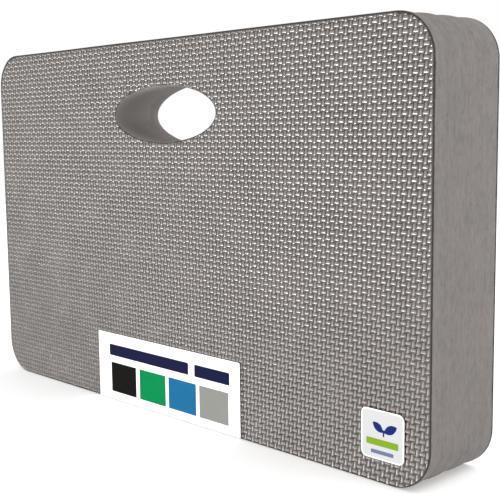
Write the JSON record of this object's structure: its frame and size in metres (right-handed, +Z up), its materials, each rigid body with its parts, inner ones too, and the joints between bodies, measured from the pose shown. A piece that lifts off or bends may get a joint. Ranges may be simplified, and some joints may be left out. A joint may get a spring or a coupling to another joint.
{
  "type": "kneeling pad",
  "caption": "Thick rectangular foam kneeling pad with round corners, an embossed basket-weave on both faces and an oval hand hole near one long edge.",
  "frame": {"origin": "middle of the long edge that the pad stands on, halfway through its thickness", "axes": "+X along the pad's length, towards the small corner label; -Y out of the labelled front face; +Z up, towards the long edge with the hand hole"},
  "size_m": [0.46, 0.0674, 0.279],
  "materials": {
    "embossed_foam": "matte",
    "core_foam": "matte",
    "glue": "matte",
    "label": "satin"
  },
  "bodies": {
    "root": {"front_face_sheet": "embossed_foam", "adhesive_film_front": "glue", "core_sheet_front": "core_foam", "adhesive_film_middle": "glue", "core_sheet_back": "core_foam", "adhesive_film_back": "glue", "back_face_sheet": "embossed_foam", "colour_label": "label", "corner_label": "label"}
  },
  "joints": []
}
